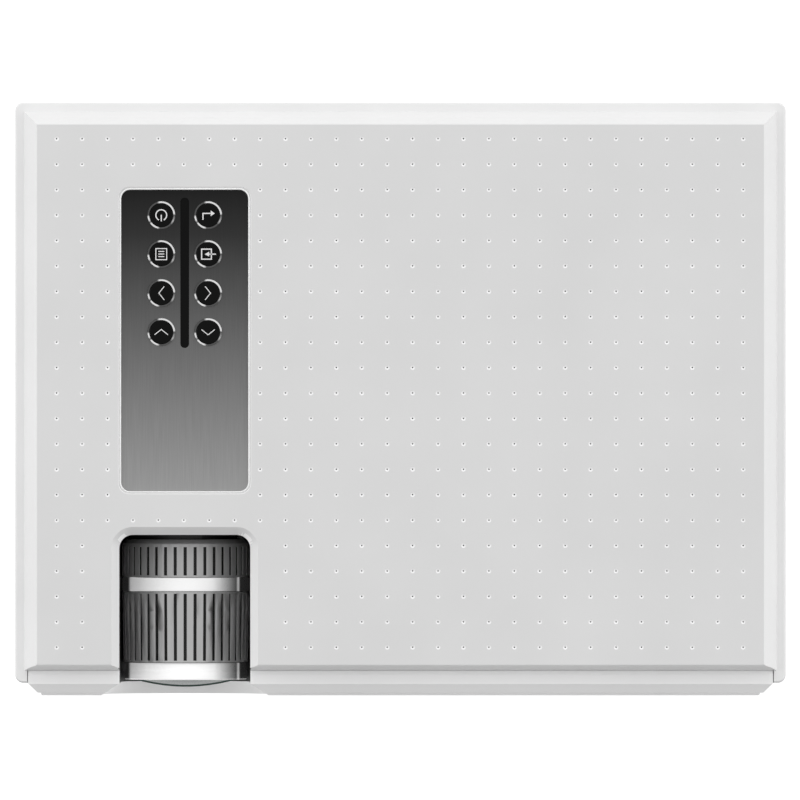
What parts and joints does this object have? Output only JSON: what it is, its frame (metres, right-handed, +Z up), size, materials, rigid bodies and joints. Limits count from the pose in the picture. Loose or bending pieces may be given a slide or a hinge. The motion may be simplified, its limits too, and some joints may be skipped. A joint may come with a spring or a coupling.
{
  "type": "projector with disc player",
  "caption": "Table-top projector with a ribbed focus lens in a top recess, a control plate with round buttons, and a slide-out disc tray in its front.",
  "frame": {"origin": "on the table, under the middle of the whole body", "axes": "+X to the right as the front is looked at, +Y to the back, +Z up; the lens looks along -Y"},
  "size_m": [0.285, 0.2194, 0.105],
  "materials": {
    "upper_shell": "pale grey satin ABS with a fine moulded dimple grid",
    "lower_shell": "pale grey satin ABS",
    "front": "white satin ABS",
    "rear": "pale grey fine texture",
    "grille": "light grey",
    "control_plate": "black fading to mid grey, gloss",
    "bright_trim": "bright plated",
    "dark_window": "dark infrared window",
    "button_gloss": "piano black with white pictograms",
    "ring_grip": "dark grey satin paint on ribbed rings",
    "dark_plastic": "black",
    "lens_glass": "green-coated optical glass",
    "panel_glass": "picture panel",
    "clear_glass": "clear optical glass and acrylic",
    "mirror": "aluminised",
    "copper_board": "copper core lamp board",
    "aluminium": "extruded",
    "circuit_board": "green solder mask",
    "steel": "zinc plated sheet",
    "brass": "turned",
    "rubber": "moulded",
    "speaker_black": "black",
    "tray_plastic": "black fine texture"
  },
  "bodies": {
    "housing": {"bottom_case": "lower_shell", "top_cover": "upper_shell", "front_panel": "front", "rear_panel": "rear", "side_grilles": "grille", "speaker_grille": "grille", "control_plate": "control_plate", "button_rings": "bright_trim", "indicator_strip": "dark_window", "key_board": "circuit_board", "rubber_feet": "rubber", "case_screws": "steel", "tripod_insert": "brass", "lens_cradle": "dark_plastic", "lens_mount": "dark_plastic", "lens_band": "bright_trim", "engine_housing": "dark_plastic", "engine_lid": "dark_plastic", "light_lenses": "clear_glass", "reflector": "mirror", "lamp_module": "copper_board", "heat_sink": "aluminium", "fan_frame": "dark_plastic", "main_board": "circuit_board", "power_board": "circuit_board", "port_sockets": "steel", "audio_jacks": "dark_plastic", "mains_inlet": "dark_plastic", "speakers": "speaker_black", "drive_bracket": "steel", "drive_base": "steel", "drive_lid": "steel"},
    "focus_ring": {"focus_ring": "ring_grip"},
    "barrel": {"lens_barrel": "dark_plastic", "lens_trim_ring": "bright_trim", "lens_glass": "lens_glass"},
    "keystone_ring": {"keystone_ring": "ring_grip"},
    "picture_frame": {"lcd_frame": "dark_plastic", "lcd_panel": "panel_glass"},
    "fan": {"fan_rotor": "dark_plastic"},
    "tray": {"disc_tray": "tray_plastic", "tray_bezel": "front", "traverse_plate": "steel", "guide_rods": "steel", "drive_motors": "steel"},
    "rails": {"tray_rails": "steel"},
    "eject_button": {"eject_button": "front"},
    "spindle": {"spindle_hub": "dark_plastic"},
    "sled": {"pickup_sled": "dark_plastic"},
    "lead_screw": {"lead_screw": "steel"},
    "tilt_foot": {"tilt_foot_pad": "rubber"},
    "tilt_screw": {"tilt_foot_screw": "dark_plastic"},
    "power_button": {"power_button": "button_gloss"},
    "return_button": {"return_button": "button_gloss"},
    "menu_button": {"menu_button": "button_gloss"},
    "source_button": {"source_button": "button_gloss"},
    "left_button": {"left_button": "button_gloss"},
    "right_button": {"right_button": "button_gloss"},
    "up_button": {"up_button": "button_gloss"},
    "down_button": {"down_button": "button_gloss"}
  },
  "joints": [
    {"name": "focus_turn", "type": "hinge", "parent": "housing", "child": "focus_ring", "pos_m": [-0.0797, -0.0774, 0.065], "axis": [0, -1, 0], "range_deg": [0, 100]},
    {"name": "barrel_slide", "type": "slide", "parent": "housing", "child": "barrel", "axis": [0, -1, 0], "range_m": [0, 0.0071]},
    {"name": "keystone_turn", "type": "hinge", "parent": "housing", "child": "keystone_ring", "pos_m": [-0.0797, -0.052, 0.065], "axis": [0, 1, 0], "range_deg": [-18, 18]},
    {"name": "picture_tilt", "type": "hinge", "parent": "housing", "child": "picture_frame", "pos_m": [-0.0797, 0.0074, 0.065], "axis": [1, 0, 0], "range_deg": [-8.5, 8.5]},
    {"name": "fan_spin", "type": "hinge", "parent": "housing", "child": "fan", "pos_m": [-0.0797, 0.09685, 0.055], "axis": [0, 1, 0], "continuous": true},
    {"name": "tray_slide", "type": "slide", "parent": "housing", "child": "tray", "axis": [0, -1, 0], "range_m": [0, 0.13]},
    {"name": "rail_slide", "type": "slide", "parent": "housing", "child": "rails", "axis": [0, -1, 0], "range_m": [0, 0.065]},
    {"name": "eject_press", "type": "slide", "parent": "tray", "child": "eject_button", "axis": [0, 1, 0], "range_m": [0, 0.001], "stiffness_N_per_m": 800, "springref_m": -0.0004},
    {"name": "spindle_spin", "type": "hinge", "parent": "tray", "child": "spindle", "pos_m": [0.04515, -0.04075, 0.0706], "axis": [0, 0, 1], "continuous": true},
    {"name": "sled_slide", "type": "slide", "parent": "tray", "child": "sled", "axis": [0, 1, 0], "range_m": [0, 0.03]},
    {"name": "lead_screw_turn", "type": "hinge", "parent": "tray", "child": "lead_screw", "pos_m": [0.06965, -0.04075, 0.066], "axis": [0, 1, 0], "range_deg": [-5, 3605]},
    {"name": "foot_slide", "type": "slide", "parent": "housing", "child": "tilt_foot", "axis": [0, 0, -1], "range_m": [0, 0.012]},
    {"name": "foot_screw_turn", "type": "hinge", "parent": "tilt_foot", "child": "tilt_screw", "pos_m": [0, -0.08795, 0.01], "axis": [0, 0, -1], "range_deg": [-5, 2165]},
    {"name": "power_press", "type": "slide", "parent": "housing", "child": "power_button", "axis": [0, 0, -1], "range_m": [0, 0.0006], "stiffness_N_per_m": 1000, "springref_m": -0.0005},
    {"name": "return_press", "type": "slide", "parent": "housing", "child": "return_button", "axis": [0, 0, -1], "range_m": [0, 0.0006], "stiffness_N_per_m": 1000, "springref_m": -0.0005},
    {"name": "menu_press", "type": "slide", "parent": "housing", "child": "menu_button", "axis": [0, 0, -1], "range_m": [0, 0.0006], "stiffness_N_per_m": 1000, "springref_m": -0.0005},
    {"name": "source_press", "type": "slide", "parent": "housing", "child": "source_button", "axis": [0, 0, -1], "range_m": [0, 0.0006], "stiffness_N_per_m": 1000, "springref_m": -0.0005},
    {"name": "left_press", "type": "slide", "parent": "housing", "child": "left_button", "axis": [0, 0, -1], "range_m": [0, 0.0006], "stiffness_N_per_m": 1000, "springref_m": -0.0005},
    {"name": "right_press", "type": "slide", "parent": "housing", "child": "right_button", "axis": [0, 0, -1], "range_m": [0, 0.0006], "stiffness_N_per_m": 1000, "springref_m": -0.0005},
    {"name": "up_press", "type": "slide", "parent": "housing", "child": "up_button", "axis": [0, 0, -1], "range_m": [0, 0.0006], "stiffness_N_per_m": 1000, "springref_m": -0.0005},
    {"name": "down_press", "type": "slide", "parent": "housing", "child": "down_button", "axis": [0, 0, -1], "range_m": [0, 0.0006], "stiffness_N_per_m": 1000, "springref_m": -0.0005}
  ],
  "couplings": [
    {"joint": "barrel_slide", "follows": "focus_turn", "m_per_rad": 0.0040107},
    {"joint": "picture_tilt", "follows": "keystone_turn", "ratio": 0.457},
    {"joint": "rail_slide", "follows": "tray_slide", "ratio": 0.5},
    {"joint": "lead_screw_turn", "follows": "sled_slide", "rad_per_m": 2094.4},
    {"joint": "foot_screw_turn", "follows": "foot_slide", "rad_per_m": 3141.6}
  ]
}
